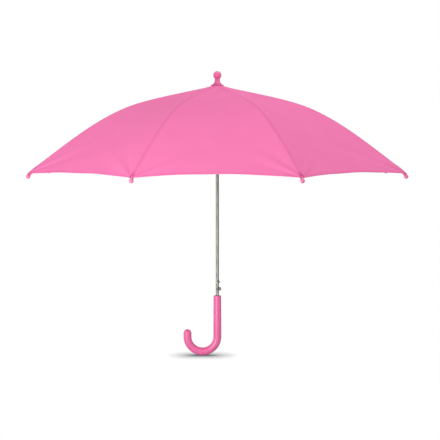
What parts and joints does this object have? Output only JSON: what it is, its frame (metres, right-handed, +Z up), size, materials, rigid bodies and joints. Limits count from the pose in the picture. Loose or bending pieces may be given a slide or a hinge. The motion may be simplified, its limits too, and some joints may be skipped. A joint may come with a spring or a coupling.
{
  "type": "children's umbrella",
  "caption": "Open pink children's umbrella with a domed fabric canopy, folding steel ribs, a steel shaft, round rib tips, a ball-topped finial and a J-shaped plastic handle.",
  "frame": {"origin": "on the shaft's axis at the middle of the straight grip of the handle", "axes": "+Z up along the shaft to the finial, -X towards the open end of the handle's hook, +Y towards the panel that carries the closing strap"},
  "size_m": [0.8158, 0.8158, 0.6457],
  "materials": {
    "pink_fabric": "plain-weave waterproof polyester with a soft sheen",
    "pink_plastic": "glossy moulded plastic",
    "deep_pink_plastic": "glossy moulded plastic, a shade deeper",
    "shaft_steel": "plated tube, satin",
    "frame_steel": "plated strip and wire",
    "spring_steel": "bright drawn wire",
    "black_plastic": "moulded nylon",
    "snap_chrome": "pressed and plated"
  },
  "bodies": {
    "shaft": {"shaft_tube": "shaft_steel", "handle": "pink_plastic", "finial": "pink_plastic", "top_washer": "deep_pink_plastic", "top_notch": "black_plastic", "notch_wire": "spring_steel", "notch_pin": "frame_steel", "runner_stop_pin": "frame_steel", "catch_pin": "frame_steel"},
    "catch": {"catch_leaf": "spring_steel", "release_button": "shaft_steel"},
    "rib_1": {"rib_1": "frame_steel", "rib_tip_1": "pink_plastic"},
    "rib_2": {"rib_2": "frame_steel", "rib_tip_2": "pink_plastic"},
    "rib_3": {"rib_3": "frame_steel", "rib_tip_3": "pink_plastic"},
    "rib_4": {"rib_4": "frame_steel", "rib_tip_4": "pink_plastic"},
    "rib_5": {"rib_5": "frame_steel", "rib_tip_5": "pink_plastic"},
    "rib_6": {"rib_6": "frame_steel", "rib_tip_6": "pink_plastic"},
    "rib_7": {"rib_7": "frame_steel", "rib_tip_7": "pink_plastic"},
    "rib_8": {"rib_8": "frame_steel", "rib_tip_8": "pink_plastic"},
    "stretcher_1": {"stretcher_1": "frame_steel"},
    "stretcher_2": {"stretcher_2": "frame_steel"},
    "stretcher_3": {"stretcher_3": "frame_steel"},
    "stretcher_4": {"stretcher_4": "frame_steel"},
    "stretcher_5": {"stretcher_5": "frame_steel"},
    "stretcher_6": {"stretcher_6": "frame_steel"},
    "stretcher_7": {"stretcher_7": "frame_steel"},
    "stretcher_8": {"stretcher_8": "frame_steel"},
    "push_strut_1": {"push_strut_1": "frame_steel"},
    "push_strut_2": {"push_strut_2": "frame_steel"},
    "push_strut_3": {"push_strut_3": "frame_steel"},
    "push_strut_4": {"push_strut_4": "frame_steel"},
    "push_strut_5": {"push_strut_5": "frame_steel"},
    "push_strut_6": {"push_strut_6": "frame_steel"},
    "push_strut_7": {"push_strut_7": "frame_steel"},
    "push_strut_8": {"push_strut_8": "frame_steel"},
    "upper_runner": {"upper_runner": "black_plastic", "upper_runner_wire": "spring_steel", "opening_spring": "spring_steel"},
    "lower_runner": {"lower_runner": "black_plastic", "lower_runner_wire": "spring_steel"},
    "panel_1": {"canopy_panel_1": "pink_fabric"},
    "panel_2": {"canopy_panel_2": "pink_fabric", "closing_strap": "pink_fabric", "strap_snap_cap": "snap_chrome", "strap_snap_stud": "snap_chrome"},
    "panel_3": {"canopy_panel_3": "pink_fabric"},
    "panel_4": {"canopy_panel_4": "pink_fabric"},
    "panel_5": {"canopy_panel_5": "pink_fabric"},
    "panel_6": {"canopy_panel_6": "pink_fabric"},
    "panel_7": {"canopy_panel_7": "pink_fabric"},
    "panel_8": {"canopy_panel_8": "pink_fabric"}
  },
  "joints": [
    {"name": "release_press", "type": "hinge", "parent": "shaft", "child": "catch", "pos_m": [0.0011, 0, 0.01], "axis": [0, -1, 0], "range_deg": [0, 2.5], "stiffness_Nm_per_rad": 0.05, "springref_deg": -2.86},
    {"name": "rib_1_fold", "type": "hinge", "parent": "shaft", "child": "rib_1", "pos_m": [0.00739, 0.00306, 0.5176], "axis": [-0.3827, 0.9239, 0], "range_deg": [0, 65], "stiffness_Nm_per_rad": 2, "springref_deg": -51.57},
    {"name": "rib_2_fold", "type": "hinge", "parent": "shaft", "child": "rib_2", "pos_m": [0.00306, 0.00739, 0.5176], "axis": [-0.9239, 0.3827, 0], "range_deg": [-0.4, 65.4]},
    {"name": "rib_3_fold", "type": "hinge", "parent": "shaft", "child": "rib_3", "pos_m": [-0.00306, 0.00739, 0.5176], "axis": [-0.9239, -0.3827, 0], "range_deg": [-0.4, 65.4]},
    {"name": "rib_4_fold", "type": "hinge", "parent": "shaft", "child": "rib_4", "pos_m": [-0.00739, 0.00306, 0.5176], "axis": [-0.3827, -0.9239, 0], "range_deg": [-0.4, 65.4]},
    {"name": "rib_5_fold", "type": "hinge", "parent": "shaft", "child": "rib_5", "pos_m": [-0.00739, -0.00306, 0.5176], "axis": [0.3827, -0.9239, 0], "range_deg": [-0.4, 65.4]},
    {"name": "rib_6_fold", "type": "hinge", "parent": "shaft", "child": "rib_6", "pos_m": [-0.00306, -0.00739, 0.5176], "axis": [0.9239, -0.3827, 0], "range_deg": [-0.4, 65.4]},
    {"name": "rib_7_fold", "type": "hinge", "parent": "shaft", "child": "rib_7", "pos_m": [0.00306, -0.00739, 0.5176], "axis": [0.9239, 0.3827, 0], "range_deg": [-0.4, 65.4]},
    {"name": "rib_8_fold", "type": "hinge", "parent": "shaft", "child": "rib_8", "pos_m": [0.00739, -0.00306, 0.5176], "axis": [0.3827, 0.9239, 0], "range_deg": [-0.4, 65.4]},
    {"name": "stretcher_1_fold", "type": "hinge", "parent": "rib_1", "child": "stretcher_1", "pos_m": [0.17892, 0.07411, 0.47508], "axis": [-0.3827, 0.9239, 0], "range_deg": [-130.8, 0.8]},
    {"name": "stretcher_2_fold", "type": "hinge", "parent": "rib_2", "child": "stretcher_2", "pos_m": [0.07411, 0.17892, 0.47508], "axis": [-0.9239, 0.3827, 0], "range_deg": [-130.8, 0.8]},
    {"name": "stretcher_3_fold", "type": "hinge", "parent": "rib_3", "child": "stretcher_3", "pos_m": [-0.07411, 0.17892, 0.47508], "axis": [-0.9239, -0.3827, 0], "range_deg": [-130.8, 0.8]},
    {"name": "stretcher_4_fold", "type": "hinge", "parent": "rib_4", "child": "stretcher_4", "pos_m": [-0.17892, 0.07411, 0.47508], "axis": [-0.3827, -0.9239, 0], "range_deg": [-130.8, 0.8]},
    {"name": "stretcher_5_fold", "type": "hinge", "parent": "rib_5", "child": "stretcher_5", "pos_m": [-0.17892, -0.07411, 0.47508], "axis": [0.3827, -0.9239, 0], "range_deg": [-130.8, 0.8]},
    {"name": "stretcher_6_fold", "type": "hinge", "parent": "rib_6", "child": "stretcher_6", "pos_m": [-0.07411, -0.17892, 0.47508], "axis": [0.9239, -0.3827, 0], "range_deg": [-130.8, 0.8]},
    {"name": "stretcher_7_fold", "type": "hinge", "parent": "rib_7", "child": "stretcher_7", "pos_m": [0.07411, -0.17892, 0.47508], "axis": [0.9239, 0.3827, 0], "range_deg": [-130.8, 0.8]},
    {"name": "stretcher_8_fold", "type": "hinge", "parent": "rib_8", "child": "stretcher_8", "pos_m": [0.17892, -0.07411, 0.47508], "axis": [0.3827, 0.9239, 0], "range_deg": [-130.8, 0.8]},
    {"name": "push_strut_1_fold", "type": "hinge", "parent": "stretcher_1", "child": "push_strut_1", "pos_m": [0.07043, 0.02917, 0.44819], "axis": [-0.3827, 0.9239, 0], "range_deg": [-0.21, 34.51]},
    {"name": "push_strut_2_fold", "type": "hinge", "parent": "stretcher_2", "child": "push_strut_2", "pos_m": [0.02917, 0.07043, 0.44819], "axis": [-0.9239, 0.3827, 0], "range_deg": [-0.21, 34.51]},
    {"name": "push_strut_3_fold", "type": "hinge", "parent": "stretcher_3", "child": "push_strut_3", "pos_m": [-0.02917, 0.07043, 0.44819], "axis": [-0.9239, -0.3827, 0], "range_deg": [-0.21, 34.51]},
    {"name": "push_strut_4_fold", "type": "hinge", "parent": "stretcher_4", "child": "push_strut_4", "pos_m": [-0.07043, 0.02917, 0.44819], "axis": [-0.3827, -0.9239, 0], "range_deg": [-0.21, 34.51]},
    {"name": "push_strut_5_fold", "type": "hinge", "parent": "stretcher_5", "child": "push_strut_5", "pos_m": [-0.07043, -0.02917, 0.44819], "axis": [0.3827, -0.9239, 0], "range_deg": [-0.21, 34.51]},
    {"name": "push_strut_6_fold", "type": "hinge", "parent": "stretcher_6", "child": "push_strut_6", "pos_m": [-0.02917, -0.07043, 0.44819], "axis": [0.9239, -0.3827, 0], "range_deg": [-0.21, 34.51]},
    {"name": "push_strut_7_fold", "type": "hinge", "parent": "stretcher_7", "child": "push_strut_7", "pos_m": [0.02917, -0.07043, 0.44819], "axis": [0.9239, 0.3827, 0], "range_deg": [-0.21, 34.51]},
    {"name": "push_strut_8_fold", "type": "hinge", "parent": "stretcher_8", "child": "push_strut_8", "pos_m": [0.07043, -0.02917, 0.44819], "axis": [0.3827, 0.9239, 0], "range_deg": [-0.21, 34.51]},
    {"name": "upper_runner_travel", "type": "hinge", "parent": "stretcher_1", "child": "upper_runner", "pos_m": [0.00739, 0.00306, 0.43257], "axis": [-0.3827, 0.9239, 0], "range_deg": [-0.4, 65.4]},
    {"name": "lower_runner_rise", "type": "slide", "parent": "upper_runner", "child": "lower_runner", "axis": [0, 0, 1], "range_m": [-0.00018, 0.03019], "deforming": ["opening_spring"]},
    {"name": "panel_1_fold", "type": "hinge", "parent": "shaft", "child": "panel_1", "pos_m": [0.00523, 0.00523, 0.5176], "axis": [-0.7071, 0.7071, 0], "range_deg": [-0.39, 64.09], "deforming": ["canopy_panel_1"]},
    {"name": "panel_2_fold", "type": "hinge", "parent": "shaft", "child": "panel_2", "pos_m": [0, 0.00739, 0.5176], "axis": [-1, 0, 0], "range_deg": [-0.39, 64.09], "deforming": ["canopy_panel_2", "closing_strap"]},
    {"name": "panel_3_fold", "type": "hinge", "parent": "shaft", "child": "panel_3", "pos_m": [-0.00523, 0.00523, 0.5176], "axis": [-0.7071, -0.7071, 0], "range_deg": [-0.39, 64.09], "deforming": ["canopy_panel_3"]},
    {"name": "panel_4_fold", "type": "hinge", "parent": "shaft", "child": "panel_4", "pos_m": [-0.00739, 0, 0.5176], "axis": [0, -1, 0], "range_deg": [-0.39, 64.09], "deforming": ["canopy_panel_4"]},
    {"name": "panel_5_fold", "type": "hinge", "parent": "shaft", "child": "panel_5", "pos_m": [-0.00523, -0.00523, 0.5176], "axis": [0.7071, -0.7071, 0], "range_deg": [-0.39, 64.09], "deforming": ["canopy_panel_5"]},
    {"name": "panel_6_fold", "type": "hinge", "parent": "shaft", "child": "panel_6", "pos_m": [0, -0.00739, 0.5176], "axis": [1, 0, 0], "range_deg": [-0.39, 64.09], "deforming": ["canopy_panel_6"]},
    {"name": "panel_7_fold", "type": "hinge", "parent": "shaft", "child": "panel_7", "pos_m": [0.00523, -0.00523, 0.5176], "axis": [0.7071, 0.7071, 0], "range_deg": [-0.39, 64.09], "deforming": ["canopy_panel_7"]},
    {"name": "panel_8_fold", "type": "hinge", "parent": "shaft", "child": "panel_8", "pos_m": [0.00739, 0, 0.5176], "axis": [0, 1, 0], "range_deg": [-0.39, 64.09], "deforming": ["canopy_panel_8"]}
  ],
  "couplings": [
    {"joint": "rib_2_fold", "follows": "rib_1_fold", "ratio": 1},
    {"joint": "rib_3_fold", "follows": "rib_1_fold", "ratio": 1},
    {"joint": "rib_4_fold", "follows": "rib_1_fold", "ratio": 1},
    {"joint": "rib_5_fold", "follows": "rib_1_fold", "ratio": 1},
    {"joint": "rib_6_fold", "follows": "rib_1_fold", "ratio": 1},
    {"joint": "rib_7_fold", "follows": "rib_1_fold", "ratio": 1},
    {"joint": "rib_8_fold", "follows": "rib_1_fold", "ratio": 1},
    {"joint": "stretcher_1_fold", "follows": "rib_1_fold", "ratio": -2},
    {"joint": "stretcher_2_fold", "follows": "rib_1_fold", "ratio": -2},
    {"joint": "stretcher_3_fold", "follows": "rib_1_fold", "ratio": -2},
    {"joint": "stretcher_4_fold", "follows": "rib_1_fold", "ratio": -2},
    {"joint": "stretcher_5_fold", "follows": "rib_1_fold", "ratio": -2},
    {"joint": "stretcher_6_fold", "follows": "rib_1_fold", "ratio": -2},
    {"joint": "stretcher_7_fold", "follows": "rib_1_fold", "ratio": -2},
    {"joint": "stretcher_8_fold", "follows": "rib_1_fold", "ratio": -2},
    {"joint": "push_strut_1_fold", "follows": "rib_1_fold", "ratio": 0.52764},
    {"joint": "push_strut_2_fold", "follows": "rib_1_fold", "ratio": 0.52764},
    {"joint": "push_strut_3_fold", "follows": "rib_1_fold", "ratio": 0.52764},
    {"joint": "push_strut_4_fold", "follows": "rib_1_fold", "ratio": 0.52764},
    {"joint": "push_strut_5_fold", "follows": "rib_1_fold", "ratio": 0.52764},
    {"joint": "push_strut_6_fold", "follows": "rib_1_fold", "ratio": 0.52764},
    {"joint": "push_strut_7_fold", "follows": "rib_1_fold", "ratio": 0.52764},
    {"joint": "push_strut_8_fold", "follows": "rib_1_fold", "ratio": 0.52764},
    {"joint": "upper_runner_travel", "follows": "rib_1_fold", "ratio": 1},
    {"joint": "lower_runner_rise", "follows": "rib_1_fold", "m_per_rad": 0.026451},
    {"joint": "panel_1_fold", "follows": "rib_1_fold", "ratio": 0.98},
    {"joint": "panel_2_fold", "follows": "rib_1_fold", "ratio": 0.98},
    {"joint": "panel_3_fold", "follows": "rib_1_fold", "ratio": 0.98},
    {"joint": "panel_4_fold", "follows": "rib_1_fold", "ratio": 0.98},
    {"joint": "panel_5_fold", "follows": "rib_1_fold", "ratio": 0.98},
    {"joint": "panel_6_fold", "follows": "rib_1_fold", "ratio": 0.98},
    {"joint": "panel_7_fold", "follows": "rib_1_fold", "ratio": 0.98},
    {"joint": "panel_8_fold", "follows": "rib_1_fold", "ratio": 0.98}
  ]
}
